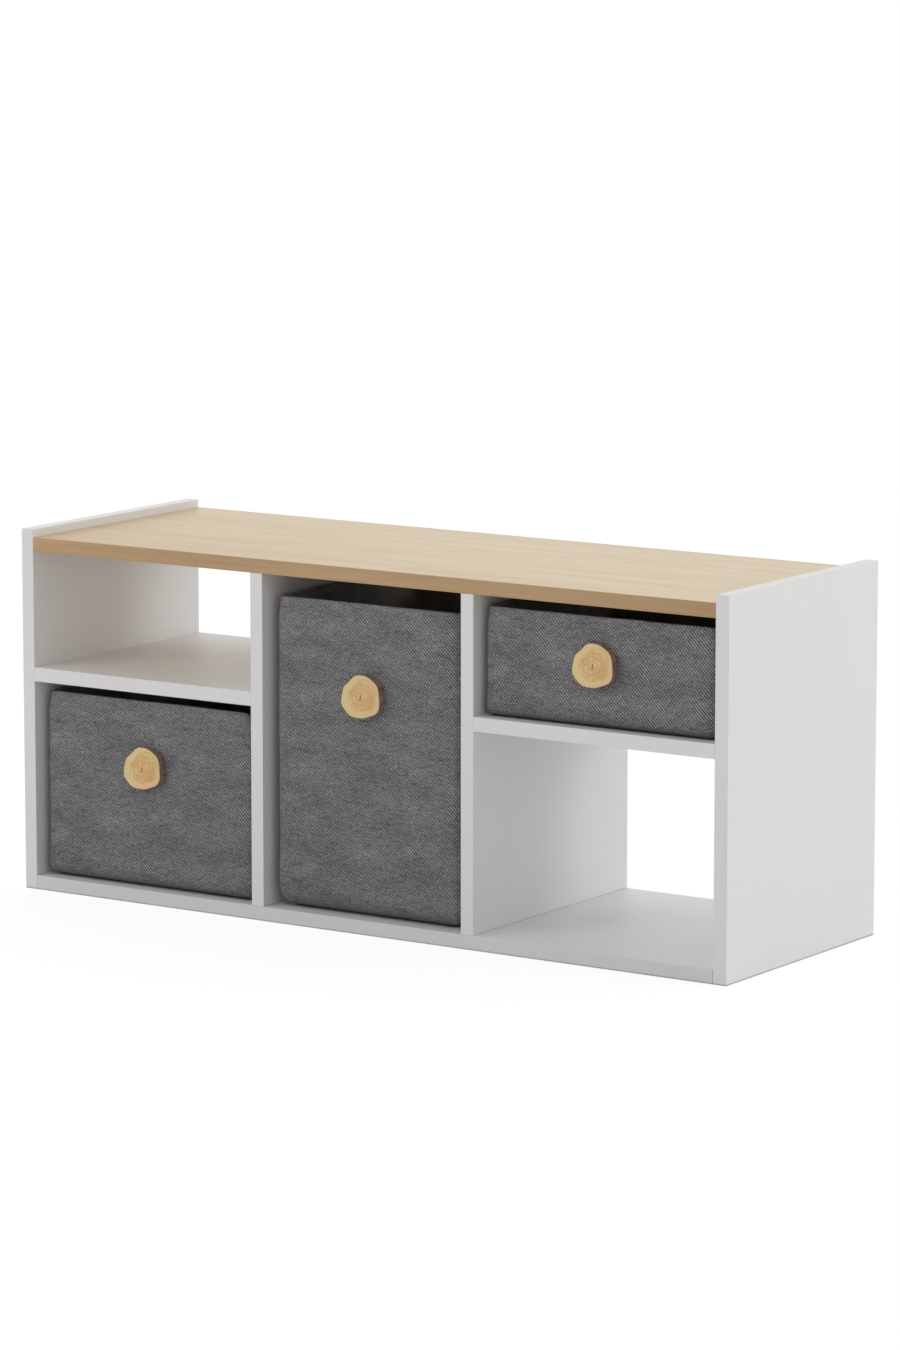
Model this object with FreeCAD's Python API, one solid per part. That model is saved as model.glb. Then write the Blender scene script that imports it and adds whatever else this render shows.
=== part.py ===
import FreeCAD, Part
import math
import os
from collections import defaultdict, namedtuple
from FreeCAD import Vector

# A low toy cabinet: white boards, an oak-faced top, two open bays and three pull-out fabric bins.
# All sizes are in millimetres. +X is to the right, +Y to the back and +Z up.
# The origin is on the floor, under the middle of the cabinet.

# Cabinet boards
cabinet_depth = 350.0
board_thickness = 18.0
side_bay_width = 337.5      # clear width of the left and right bays
middle_bay_width = 293.0
lower_bay_height = 250.0    # clear height under both shelves
upper_bay_height = 148.0    # clear height above both shelves
side_rise = 10.0            # the side panels stand this far above the top
band_thickness = 1.0        # glued edge band on every edge that shows
band_edge_radius = 0.6

# Cam locks, two at each end of a board
cam_from_edge = 70.0        # cam centre to the board's front or back edge
cam_setback = 34.0          # cam centre to the end of its board
cam_diameter = 14.8
cam_roof = 3.5              # solid height of the cam above the bolt's axis
cam_sunk = 0.3              # how deep the cam lies below the face of its board
cam_cross_length = 9.0
cam_cross_width = 1.4
cam_cross_depth = 3.0
bolt_thread_diameter = 5.0
bolt_thread_length = 11.0
bolt_collar_diameter = 7.4
bolt_collar_length = 1.6
bolt_shank_diameter = 6.0
bolt_neck_diameter = 3.8
bolt_neck_length = 6.0
bolt_head_diameter = 7.0
bolt_head_length = 4.5
bolt_play = 0.3             # room around the bolt's collar in the board's end

# Dowels, one beside each cam lock
dowel_from_cam = 32.0
dowel_diameter = 8.0
dowel_length = 30.0
dowel_in_face = 11.0        # length of the dowel in the face that the board's end meets
dowel_chamfer = 1.0
bore_play = 0.1             # room around a cam, bolt or dowel in its bore
bore_end_room = 1.0         # room past the end of a dowel or thread

# Fabric bins
bin_back_gap = 10.0         # back of the bin to the back edge of the cabinet
bin_floor_gap = 0.3
side_bin_gap = 6.25         # gap on each side of the left and right bins
middle_bin_gap = 10.0       # gap on each side of the middle bin
left_bin_headroom = 12.0
middle_bin_headroom = 27.0
right_bin_headroom = 14.0
bin_corner_radius = 10.0    # upright corners
left_bin_foot_radius = 15.0
middle_bin_foot_radius = 20.0
right_bin_foot_radius = 8.0
cover_thickness = 1.5
wall_board_thickness = 2.5
lining_thickness = 1.0

# Knobs, each a slice of a branch with a lobed outline
knob_radius = 27.5
knob_lobes = (              # count, depth, turn in degrees
    (2, 1.3, 45.0),
    (3, 1.1, -101.0),
    (5, 0.4, 175.0),
    (6, 0.4, -162.0),
)
knob_outline_steps = 30
knob_thickness = 12.5
knob_chamfer = 0.8
left_knob_lift = 34.5       # knob's centre above the middle of the bin's front
middle_knob_lift = 81.0
right_knob_lift = 8.7
screw_diameter = 4.0
screw_cap = 5.0             # wood in front of the screw's tip
screw_head_diameter = 8.5
screw_head_height = 2.6
screw_cross_length = 5.0
screw_cross_width = 1.0
screw_cross_depth = 1.4
screw_play = 0.25           # room around the screw in the bin's wall and the washer
washer_diameter = 13.0
washer_thickness = 1.0

# Places that follow from the sizes above
half_depth = cabinet_depth / 2
half_middle = middle_bay_width / 2
divider_outer = half_middle + board_thickness
side_inner = divider_outer + side_bay_width
half_width = side_inner + board_thickness
bay_floor = board_thickness
shelf_underside = bay_floor + lower_bay_height
shelf_top = shelf_underside + board_thickness
bay_ceiling = shelf_top + upper_bay_height
top_face = bay_ceiling + board_thickness
cabinet_height = top_face + side_rise
band_core = half_depth - band_thickness     # where the front and back bands meet the boards
band_round = min(band_edge_radius, 0.8 * band_thickness)
bolt_bore = max(bolt_collar_diameter, bolt_head_diameter) + 2 * bolt_play
lining_inset = cover_thickness + wall_board_thickness
inside_inset = lining_inset + lining_thickness
bin_front = -half_depth + knob_thickness    # so the knobs end flush with the cabinet's front
bin_back = half_depth - bin_back_gap

Board = namedtuple("Board", "left right bottom top banded_top")
boards = {
    "left_side_panel": Board(-half_width, -side_inner, 0, cabinet_height, True),
    "right_side_panel": Board(side_inner, half_width, 0, cabinet_height, True),
    "top_panel": Board(-side_inner, side_inner, bay_ceiling, top_face, False),
    "bottom_panel": Board(-side_inner, side_inner, 0, bay_floor, False),
    "left_divider": Board(-divider_outer, -half_middle, bay_floor, bay_ceiling, False),
    "right_divider": Board(half_middle, divider_outer, bay_floor, bay_ceiling, False),
    "left_shelf": Board(-side_inner, -divider_outer, shelf_underside, shelf_top, False),
    "right_shelf": Board(divider_outer, side_inner, shelf_underside, shelf_top, False),
}

left_way = Vector(-1, 0, 0)
right_way = Vector(1, 0, 0)
back_way = Vector(0, 1, 0)
up_way = Vector(0, 0, 1)
down_way = Vector(0, 0, -1)

bores = defaultdict(list)    # cutters for each board
cam_locks = []
cam_bolts = []
dowels = []


def block(left, right, front, back, bottom, top):
    return Part.makeBox(right - left, back - front, top - bottom, Vector(left, front, bottom))


def rod(diameter, start, way, length):
    return Part.makeCylinder(diameter / 2, length, start, way)


def cross_slot(centre, across, way, length, width, depth):
    """Two crossed slots, sunk from centre along way."""
    beside = across.cross(way)
    arms = []
    for along, over in ((across, beside), (beside, across)):
        corner = centre - along * (length / 2) - over * (width / 2)
        corners = (corner, corner + along * length, corner + along * length + over * width,
                   corner + over * width, corner)
        arms.append(Part.Face(Part.makePolygon(corners)).extrude(way * depth))
    return arms[0].fuse(arms[1])


def export(node, solids):
    shape = solids[0] if len(solids) == 1 else Part.makeCompound(solids)
    shape.exportStep(f"parts/{node}.step")


# Board joints

def cam_bolt(foot, outward):
    """A bolt with its thread in the face and its head in the cam; foot is where the boards meet."""
    head_start = cam_setback + bolt_head_length / 2
    neck_start = head_start - bolt_head_length
    shank_start = neck_start - bolt_neck_length
    stretches = (
        (bolt_thread_diameter, -bolt_thread_length, 0),
        (bolt_collar_diameter, 0, bolt_collar_length),
        (bolt_shank_diameter, bolt_collar_length, shank_start),
        (bolt_neck_diameter, shank_start, neck_start),
        (bolt_head_diameter, neck_start, head_start),
    )
    rods = [rod(size, foot - outward * begin, -outward, end - begin) for size, begin, end in stretches]
    return rods[0].multiFuse(rods[1:]).removeSplitter()


def cam_lock(foot, outward, cam_side):
    """The round cam, with the channel for the bolt's head and a cross slot in its open face."""
    mouth = foot - outward * cam_setback + cam_side * (board_thickness / 2 - cam_sunk)
    height = board_thickness / 2 + cam_roof - cam_sunk
    cam = rod(cam_diameter, mouth, -cam_side, height)
    channel_reach = cam_setback + bolt_head_length / 2 + bore_play
    channel = rod(bolt_head_diameter + 2 * bore_play, foot, -outward, channel_reach)
    slot = cross_slot(mouth, outward, -cam_side, cam_cross_length, cam_cross_width, cam_cross_depth)
    return cam.cut(channel).cut(slot)


def add_cam_joint(end_board, face_board, foot, outward, cam_side):
    cam_locks.append(cam_lock(foot, outward, cam_side))
    cam_bolts.append(cam_bolt(foot, outward))
    cam_face = foot - outward * cam_setback + cam_side * (board_thickness / 2)
    cam_bore_depth = board_thickness / 2 + cam_roof + bore_play
    bores[end_board].append(rod(cam_diameter + 2 * bore_play, cam_face, -cam_side, cam_bore_depth))
    bolt_reach = cam_setback + bolt_head_length / 2 + bore_play
    bores[end_board].append(rod(bolt_bore, foot, -outward, bolt_reach))
    thread_bore = bolt_thread_diameter + 2 * bore_play
    bores[face_board].append(rod(thread_bore, foot, outward, bolt_thread_length + bore_end_room))


def add_dowel(end_board, face_board, foot, outward):
    dowel = rod(dowel_diameter, foot + outward * dowel_in_face, -outward, dowel_length)
    rims = [edge for edge in dowel.Edges if edge.isClosed()]
    dowels.append(dowel.makeChamfer(dowel_chamfer, rims))
    bore = dowel_diameter + 2 * bore_play
    in_end = dowel_length - dowel_in_face + bore_end_room
    bores[end_board].append(rod(bore, foot, -outward, in_end))
    bores[face_board].append(rod(bore, foot, outward, dowel_in_face + bore_end_room))


def join(end_board, face_board, outward, cam_side):
    """Two cam locks and two dowels where the end of one board meets the face of another."""
    board = boards[end_board]
    middle = Vector((board.left + board.right) / 2, 0, (board.bottom + board.top) / 2)
    to_end = Vector((board.right - board.left) / 2 * outward.x, 0, (board.top - board.bottom) / 2 * outward.z)
    for side in (-1, 1):
        cam_y = side * (half_depth - cam_from_edge)
        add_cam_joint(end_board, face_board, middle + to_end + back_way * cam_y, outward, cam_side)
        dowel_y = cam_y - side * dowel_from_cam
        add_dowel(end_board, face_board, middle + to_end + back_way * dowel_y, outward)


def join_all_boards():
    for level in ("top_panel", "bottom_panel"):
        join(level, "left_side_panel", left_way, down_way)
        join(level, "right_side_panel", right_way, down_way)
    join("left_shelf", "left_side_panel", left_way, down_way)
    join("left_shelf", "left_divider", right_way, down_way)
    join("right_shelf", "right_divider", left_way, down_way)
    join("right_shelf", "right_side_panel", right_way, down_way)
    for divider in ("left_divider", "right_divider"):
        join(divider, "top_panel", up_way, left_way)
        join(divider, "bottom_panel", down_way, left_way)


# Boards and their edge bands

def board_core(name):
    board = boards[name]
    top = board.top - band_thickness if board.banded_top else board.top
    core = block(board.left, board.right, -band_core, band_core, board.bottom, top)
    return core.cut(bores[name])


def eased(band, outward, shortest):
    """Round the edges on the outer face of a band that are longer than shortest."""
    centre = band.CenterOfMass
    outer = [edge for edge in band.Edges
             if (edge.CenterOfMass - centre).dot(outward) > band_thickness / 4
             and edge.Length > shortest]
    return band.makeFillet(band_round, outer)


def edge_bands(name):
    """Bands on the front and back edges and, on a side panel, one between them on the upper edge.

    The front and back bands are eased at their ends too, which leaves a fine line where boards meet.
    """
    board = boards[name]
    front = block(board.left, board.right, -half_depth, -band_core, board.bottom, board.top)
    back = block(board.left, board.right, band_core, half_depth, board.bottom, board.top)
    bands = [eased(front, -back_way, 0), eased(back, back_way, 0)]
    if board.banded_top:
        upper = block(board.left, board.right, -band_core, band_core, board.top - band_thickness, board.top)
        bands.append(eased(upper, up_way, 2 * board_thickness))
    return bands


# Fabric bins

Bin = namedtuple("Bin", "left right bottom rim foot_radius knob_z")


def inner_radius(radius, inset):
    """The radius of a rounded corner seen from inset further in, never sharper than the lining folds."""
    return max(radius - inset, lining_thickness / 2)


def tub(bin_, inset, top):
    """The bin's rounded block, drawn in by inset on its sides and bottom, and cut off at top."""
    bottom = bin_.bottom + inset
    solid = block(bin_.left + inset, bin_.right - inset, bin_front + inset, bin_back - inset, bottom, top)
    quarter = (top - bottom) / 4
    upright = [edge for edge in solid.Edges if bottom + quarter < edge.CenterOfMass.z < top - quarter]
    solid = solid.makeFillet(inner_radius(bin_corner_radius, inset), upright)
    foot = [edge for edge in solid.Edges if edge.CenterOfMass.z < bottom + quarter]
    return solid.makeFillet(inner_radius(bin_.foot_radius, inset), foot)


def knob_place(bin_, y):
    return Vector((bin_.left + bin_.right) / 2, y, bin_.knob_z)


def screw_hole(bin_):
    """The way for the screw through the front wall and the washer behind it."""
    start = knob_place(bin_, bin_front - cover_thickness)
    length = cover_thickness + inside_inset + 2 * washer_thickness
    return rod(screw_diameter + 2 * screw_play, start, back_way, length)


def bin_cover(bin_):
    """Outer fabric, turned in over the wall boards at the rim."""
    cover = tub(bin_, 0, bin_.rim)
    cover = cover.cut(tub(bin_, cover_thickness, bin_.rim - cover_thickness))
    return cover.cut(tub(bin_, lining_inset, bin_.rim)).cut(screw_hole(bin_))


def bin_lining(bin_):
    lining = tub(bin_, lining_inset, bin_.rim).cut(tub(bin_, inside_inset, bin_.rim))
    return lining.cut(screw_hole(bin_))


def bin_wall_boards(bin_):
    """Four stiff boards between cover and lining, which end where the rounded corners start."""
    bottom = bin_.bottom + max(bin_.foot_radius, lining_inset)
    top = bin_.rim - cover_thickness
    corner = max(bin_corner_radius, lining_inset)
    left, right = bin_.left + corner, bin_.right - corner
    front, back = bin_front + corner, bin_back - corner
    thin, thick = cover_thickness, lining_inset
    front_board = block(left, right, bin_front + thin, bin_front + thick, bottom, top)
    return [
        front_board.cut(screw_hole(bin_)),
        block(left, right, bin_back - thick, bin_back - thin, bottom, top),
        block(bin_.left + thin, bin_.left + thick, front, back, bottom, top),
        block(bin_.right - thick, bin_.right - thin, front, back, bottom, top),
    ]


def bin_base_board(bin_):
    side = max(bin_.foot_radius, bin_corner_radius)
    return block(bin_.left + side, bin_.right - side, bin_front + side, bin_back - side,
                 bin_.bottom + cover_thickness, bin_.bottom + lining_inset)


def knob(bin_):
    """A slice of a branch: a round outline with a few shallow lobes."""
    centre = knob_place(bin_, bin_front - knob_thickness)
    points = []
    for step in range(knob_outline_steps):
        angle = 2 * math.pi * step / knob_outline_steps
        radius = knob_radius
        for count, depth, turn in knob_lobes:
            radius += depth * math.cos(count * angle - math.radians(turn))
        points.append(centre + Vector(radius * math.cos(angle), 0, radius * math.sin(angle)))
    outline = Part.BSplineCurve()
    outline.interpolate(points, PeriodicFlag=True)
    slice_ = Part.Face(Part.Wire(outline.toShape())).extrude(back_way * knob_thickness)
    rims = [edge for edge in slice_.Edges if edge.isClosed()]
    slice_ = slice_.makeChamfer(knob_chamfer, rims)
    pilot_start = knob_place(bin_, bin_front - knob_thickness + screw_cap - bore_end_room)
    pilot_length = knob_thickness - screw_cap + bore_end_room
    return slice_.cut(rod(screw_diameter + 2 * bore_play, pilot_start, back_way, pilot_length))


def knob_washer(bin_):
    seat = knob_place(bin_, bin_front + inside_inset)
    return rod(washer_diameter, seat, back_way, washer_thickness).cut(screw_hole(bin_))


def knob_screw(bin_):
    """A round-headed screw from inside the bin, through washer and wall into the knob."""
    tip = knob_place(bin_, bin_front - knob_thickness + screw_cap)
    head_seat = knob_place(bin_, bin_front + inside_inset + washer_thickness)
    shank = rod(screw_diameter, tip, back_way, head_seat.y - tip.y)
    head = rod(screw_head_diameter, head_seat, back_way, screw_head_height)
    crown = [edge for edge in head.Edges if edge.isClosed() and edge.CenterOfMass.y > head.CenterOfMass.y]
    head = head.makeFillet(screw_head_height / 2, crown)
    slot = cross_slot(head_seat + back_way * screw_head_height, right_way, -back_way,
                      screw_cross_length, screw_cross_width, screw_cross_depth)
    return shank.fuse(head).removeSplitter().cut(slot)


def make_bin(name, bay_left, bay_right, floor, ceiling, gap, headroom, foot_radius, knob_lift):
    bottom = floor + bin_floor_gap
    rim = ceiling - headroom
    knob_z = (bottom + rim) / 2 + knob_lift
    bin_ = Bin(bay_left + gap, bay_right - gap, bottom, rim, foot_radius, knob_z)
    export(f"{name}_bin_cover", [bin_cover(bin_)])
    export(f"{name}_bin_lining", [bin_lining(bin_)])
    export(f"{name}_bin_wall_boards", bin_wall_boards(bin_))
    export(f"{name}_bin_base_board", [bin_base_board(bin_)])
    export(f"{name}_bin_knob", [knob(bin_)])
    export(f"{name}_bin_knob_screw", [knob_screw(bin_)])
    export(f"{name}_bin_knob_washer", [knob_washer(bin_)])


os.makedirs("parts", exist_ok=True)
join_all_boards()
for name in boards:
    export(name, [board_core(name)])
    export(f"{name.removesuffix('_panel')}_edge_bands", edge_bands(name))
export("cam_locks", cam_locks)
export("cam_bolts", cam_bolts)
export("dowels", dowels)
make_bin("left", -side_inner, -divider_outer, bay_floor, shelf_underside,
         side_bin_gap, left_bin_headroom, left_bin_foot_radius, left_knob_lift)
make_bin("middle", -half_middle, half_middle, bay_floor, bay_ceiling,
         middle_bin_gap, middle_bin_headroom, middle_bin_foot_radius, middle_knob_lift)
make_bin("right", divider_outer, side_inner, shelf_top, bay_ceiling,
         side_bin_gap, right_bin_headroom, right_bin_foot_radius, right_knob_lift)
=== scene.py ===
# %% [markdown]
# # A low toy cabinet with three fabric bins
# A flat-pack cabinet has white boards, an oak-faced top and three pull-out bins. Its rigid pieces
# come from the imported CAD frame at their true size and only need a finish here. The bins are soft,
# and their knobs are slices of a branch: those are modelled in this script.
# One unit is one metre. +X is to the right, +Y to the back, and the floor is at height 0.

# %% Load the frame
from math import cos, dist, exp, hypot, pi, radians, sin

import bpy
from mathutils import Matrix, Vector, noise


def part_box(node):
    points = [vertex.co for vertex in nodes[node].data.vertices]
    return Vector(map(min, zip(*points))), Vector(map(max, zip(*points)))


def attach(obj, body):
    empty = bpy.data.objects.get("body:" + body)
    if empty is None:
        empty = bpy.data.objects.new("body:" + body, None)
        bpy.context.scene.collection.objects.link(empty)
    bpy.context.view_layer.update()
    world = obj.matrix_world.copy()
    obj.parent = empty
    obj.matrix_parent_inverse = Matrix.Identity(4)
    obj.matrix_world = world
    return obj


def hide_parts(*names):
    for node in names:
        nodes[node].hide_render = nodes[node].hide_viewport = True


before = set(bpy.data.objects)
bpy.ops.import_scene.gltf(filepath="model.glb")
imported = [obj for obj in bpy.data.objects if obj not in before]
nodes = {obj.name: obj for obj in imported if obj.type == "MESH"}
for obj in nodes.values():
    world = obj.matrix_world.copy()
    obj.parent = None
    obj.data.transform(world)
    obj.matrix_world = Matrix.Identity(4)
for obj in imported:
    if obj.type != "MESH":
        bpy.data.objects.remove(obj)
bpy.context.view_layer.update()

# %% [markdown]
# ## The camera
# The picture looks at the cabinet from the front right and a little above, through a long lens.
# A camera can be placed by its own coordinates, but two angles and a distance round a target say
# more: someone can turn the view without working out where the camera has to go.

# %% Place the camera
def in_scene(name, data):
    """An object for a camera, a lamp or a mesh, linked to the scene."""
    thing = bpy.data.objects.new(name, data)
    bpy.context.scene.collection.objects.link(thing)
    return thing


def aimed(name, data, place, direction):
    """A camera or a lamp at a place, looking in a direction."""
    thing = in_scene(name, data)
    thing.location = place
    thing.rotation_mode = "QUATERNION"
    thing.rotation_quaternion = direction.to_track_quat("-Z", "Y")
    return thing


camera_azimuth = radians(33.88)     # from straight in front, towards the right
camera_elevation = radians(9.27)
camera_distance = 6.739
camera_target = Vector((0.0136, 0.0, 0.2993))
camera_lens = 145.09                # millimetres, as is the long side of the sensor
sensor_size = 36.0

towards_camera = Vector((
    sin(camera_azimuth) * cos(camera_elevation),
    -cos(camera_azimuth) * cos(camera_elevation),
    sin(camera_elevation),
))
camera_place = camera_target + towards_camera * camera_distance
camera = aimed("camera", bpy.data.cameras.new("camera"), camera_place, -towards_camera)
camera.data.lens = camera_lens
camera.data.sensor_width = sensor_size
bpy.context.scene.camera = camera
print("camera at", camera.location)

# %% [markdown]
# ## Shader maths in plain Python
# A material is a graph of nodes, which is hard to read as a list of links. So one small class
# wraps an output socket: `1 - mask` or `fibre * 0.3` adds the Math node itself. Any node that isn't
# arithmetic comes from `make`, which takes its kind, sockets and settings.

# %% The Signal class
def operator_pair(operation):
    """An operator of Signal and its reflected form; each adds one Math node."""
    def forward(self, other):
        return self.math(operation, other)

    def reflected(self, other):
        return self.make("ShaderNodeMath", {0: other, 1: self}, operation=operation)

    return forward, reflected


class Signal:
    """One output of a node; operators on it add Math nodes."""

    __add__, __radd__ = operator_pair("ADD")
    __sub__, __rsub__ = operator_pair("SUBTRACT")
    __mul__, __rmul__ = operator_pair("MULTIPLY")
    __truediv__, __rtruediv__ = operator_pair("DIVIDE")
    __lt__, __gt__ = operator_pair("LESS_THAN")

    def __init__(self, socket):
        self.socket = socket

    def make(self, kind, sockets, give=0, **settings):
        """Add any node: its settings first, then a value or a link for each socket."""
        tree = self.socket.id_data
        made = tree.nodes.new(kind)
        for name, value in settings.items():
            setattr(made, name, value)
        for name, value in sockets.items():
            target = find_socket(made.inputs, name)
            if isinstance(value, Signal):
                tree.links.new(value.socket, target)
            else:
                target.default_value = value
        return Signal(find_socket(made.outputs, give))

    def math(self, operation, *others):
        return self.make("ShaderNodeMath", dict(enumerate((self, *others))), operation=operation)


def find_socket(sockets, name):
    """A socket by its number, its identifier or its name."""
    if isinstance(name, int):
        return sockets[name] if len(sockets) else None
    return next(socket for socket in sockets if name in (socket.identifier, socket.name))


print("Signal adds a Math node for each +, -, *, / and <")

# %% Shader helpers
def axes(vector):
    """The three numbers of a vector signal."""
    split = vector.make("ShaderNodeSeparateXYZ", {"Vector": vector})
    return [Signal(socket) for socket in split.socket.node.outputs]


def mixed(factor, first, second):
    """A colour between two others; factor 0 gives the first."""
    ends = [colour if isinstance(colour, Signal) else (*colour, 1.0) for colour in (first, second)]
    sockets = {"Factor_Float": factor, "A_Color": ends[0], "B_Color": ends[1]}
    return factor.make("ShaderNodeMix", sockets, "Result_Color", data_type="RGBA")


def cloud(place, size, detail=2.0, roughness=0.5, distortion=0.0):
    """Soft noise from 0 to 1, in patches of about this size in metres: one number, or (x, y, z)."""
    sizes = size if isinstance(size, tuple) else (size, size, size)
    spread = place.make("ShaderNodeVectorMath", {0: place, 1: sizes}, operation="DIVIDE")
    sockets = {"Vector": spread, "Scale": 1.0, "Detail": detail, "Roughness": roughness,
               "Distortion": distortion}
    return place.make("ShaderNodeTexNoise", sockets)


def between(value, low, high):
    """0 below low, 1 above high, and a smooth rise in the range between."""
    sockets = {"Value": value, "From Min": low, "From Max": high}
    return value.make("ShaderNodeMapRange", sockets, interpolation_type="SMOOTHSTEP", clamp=True)


print("shader helpers ready")

# %% [markdown]
# ## From a pattern to a finish
# A pattern is a function of Object coordinates, which are metres in the cabinet's own frame, because
# every piece sits at the origin. It gives a colour, a roughness and a relief. `finish` ends it in a
# Principled shader, with a Bump node for the relief that is too fine to model.

# %% Material helpers
def blank_tree(owner, coordinates="Object"):
    """Empty the node tree of a material or the world, and give the coordinates it starts from."""
    owner.use_nodes = True
    owner.node_tree.nodes.clear()
    return Signal(owner.node_tree.nodes.new("ShaderNodeTexCoord").outputs[coordinates])


def finish(name, pattern, constants=None, **choices):
    """A material; its pattern gives colour, roughness, relief and the depth of that in metres."""
    material = bpy.data.materials.new(name)
    place = blank_tree(material)
    colour, roughness, height, depth = pattern(place, **choices)
    bump = place.make("ShaderNodeBump", {"Height": height, "Distance": depth})
    sockets = {"Base Color": colour, "Roughness": roughness, "Normal": bump, **(constants or {})}
    surface = place.make("ShaderNodeBsdfPrincipled", sockets)
    place.make("ShaderNodeOutputMaterial", {"Surface": surface})
    return material


def uv_map(place, name):
    """A UV map that the mesh stores, in metres."""
    return place.make("ShaderNodeUVMap", {}, uv_map=name)


def stored(place, name):
    """A number that the mesh stores for each vertex."""
    return place.make("ShaderNodeAttribute", {}, "Fac", attribute_name=name)


print("finishes start and end here")

# %% [markdown]
# ## Floor and background
# The picture's background is pure white, but lamps strong enough for that would wash out the boards.
# So floor and world are only white to rays that look at them: from the camera, and from glossy
# surfaces or glass. To light that bounces off it the floor is plain white paper. The floor that is
# seen keeps a diffuse share, which takes the cabinet's soft shadow.

# %% Build the floor
floor_reach = 40.0
floor_drop = 0.0004            # keeps the floor from lying in the same plane as the boards
floor_glow = 0.86              # share of the seen floor that is simply white
floor_seen_tone = 0.20         # share of the seen floor that shows light and shadow
floor_bounce_tone = 0.8


def end_with_two(start, output, bounced, seen):
    """End a tree with one shader for diffuse light and another for rays that look straight at it."""
    path = start.make("ShaderNodeLightPath", {}).socket.node.outputs
    rays = [Signal(path[f"Is {kind} Ray"]) for kind in ("Camera", "Glossy", "Transmission")]
    straight = rays[0].math("MAXIMUM", rays[1]).math("MAXIMUM", rays[2])
    surface = start.make("ShaderNodeMixShader", {0: straight, 1: bounced, 2: seen})
    start.make(output, {"Surface": surface})


def grey(tone):
    return (tone, tone, tone, 1.0)


def new_mesh(name, vertices, faces, *materials, edges=()):
    mesh = bpy.data.meshes.new(name)
    mesh.from_pydata(vertices, edges, faces)
    for material in materials:
        mesh.materials.append(material)
    return mesh


floor_material = bpy.data.materials.new("studio_floor")
floor_place = blank_tree(floor_material)
glow = floor_place.make("ShaderNodeEmission", {"Color": grey(1.0), "Strength": floor_glow})
shadowed = floor_place.make("ShaderNodeBsdfDiffuse", {"Color": grey(floor_seen_tone)})
seen_floor = floor_place.make("ShaderNodeAddShader", {0: glow, 1: shadowed})
bounce = floor_place.make("ShaderNodeBsdfDiffuse", {"Color": grey(floor_bounce_tone)})
end_with_two(floor_place, "ShaderNodeOutputMaterial", bounce, seen_floor)

floor_corners = [(x * floor_reach, y * floor_reach, -floor_drop)
                 for x, y in ((-1, -1), (1, -1), (1, 1), (-1, 1))]
floor_mesh = new_mesh("studio_floor", floor_corners, [(0, 1, 2, 3)], floor_material)
floor = in_scene("studio_floor", floor_mesh)
print("floor reaches", floor_reach, "m each way")

# %% [markdown]
# ## Soft studio light
# The tones of the white boards tell where the light comes from: the fronts are even, the gaps
# beside the bins are dark, the right side is the brightest, and the dividers are lit from the open
# back. So a pale world, brighter behind the cabinet, gives most of the light. A tall soft box stands
# on the right, a little behind, and one at the front left lifts the fronts. Both are big, because
# big lamps make soft shadows.

# %% Light the cabinet
ambient_even = 0.565
ambient_behind = 0.92
lamp_aim = (0, 0, 0.25)

bpy.context.scene.view_settings.view_transform = "Standard"
world = bpy.data.worlds.new("studio")
direction = blank_tree(world, "Generated")
behind = axes(direction)[1].math("MAXIMUM", 0.0)
ambient_level = behind * ambient_behind + ambient_even
ambient = direction.make("ShaderNodeBackground", {"Color": grey(1.0), "Strength": ambient_level})
backdrop = direction.make("ShaderNodeBackground", {"Color": grey(1.0), "Strength": 1.0})
end_with_two(direction, "ShaderNodeOutputWorld", ambient, backdrop)
bpy.context.scene.world = world


def soft_box(name, place, width, height, power):
    """A rectangular area lamp that points at the cabinet."""
    lamp = bpy.data.lights.new(name, "AREA")
    lamp.shape = "RECTANGLE"
    lamp.size = width
    lamp.size_y = height
    lamp.energy = power
    aimed(name, lamp, place, Vector(lamp_aim) - Vector(place))


soft_box("right_soft_box", (4.29, 1.91, 0.9), width=1.2, height=2.2, power=32)
soft_box("front_left_soft_box", (-2.6, -3.6, 2.4), width=2.4, height=2.4, power=41)
print("world and", len(bpy.data.lights), "soft boxes")

# %% [markdown]
# ## White boards and their edge bands
# The boards are chipboard faced with white melamine paper: satin, with a fine pressed texture that
# only shows where light grazes it. A plain white would look like paper, so tone and gloss drift a
# little. The glued edge bands are plastic: a trace cooler and smoother, with a faint orange peel.
# The bottom band is a shade greyer, whatever stands on the floor gets a painted contact shadow
# along its foot, and a hair of shadow and dust shows where the bottom board meets the upright ones.

# %% White finishes
board_whites = ((0.780, 0.773, 0.764), (0.815, 0.809, 0.801))
band_whites = ((0.792, 0.772, 0.772), (0.822, 0.802, 0.803))
bottom_band_level = 0.91       # how light the bottom band is beside the others
press_depth = 0.00002
# painted contact shadow along the foot: its grey, and the height it reaches
contact_shadow_grey = (0.200, 0.190, 0.185)
contact_shadow_height = 0.0026
seam_grey = (0.250, 0.242, 0.235)
seam_width = 0.0010
seam_strength = 0.6
_, bottom_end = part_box("bottom_panel")       # its upper right corner


def with_contact_shadow(place, colour):
    """Painted contact shadow: darken a colour along the foot that stands on the floor."""
    height = axes(place)[2]
    shadow_patches = cloud(place, (0.012, 0.012, 0.003), detail=3)
    return mixed((1 - between(height, 0.0, contact_shadow_height)) * (0.5 + shadow_patches * 0.6), colour, contact_shadow_grey)


def seam_shade(distance):
    """1 in the seam of a butt joint, which starts at distance 0, and 0 past it and before it."""
    return between(distance, 0.00005, 0.00015) * (1 - between(distance, seam_width / 2, seam_width))


def white_board_pattern(place):
    drift = cloud(place, 0.22, detail=3)
    press = cloud(place, 0.0011, detail=3, roughness=0.6)
    smudge = cloud(place, 0.05, detail=4, roughness=0.6)
    x, _, height = axes(place)
    inside = x.math("ABSOLUTE") < bottom_end.x + seam_width
    seam = seam_shade(height - bottom_end.z) * inside * seam_strength
    # the seam of the joint, over a painted contact shadow along the foot
    colour = mixed(seam, with_contact_shadow(place, mixed(drift, *board_whites)), seam_grey)
    return colour, 0.34 + smudge * 0.14 + press * 0.06, press, press_depth


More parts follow.
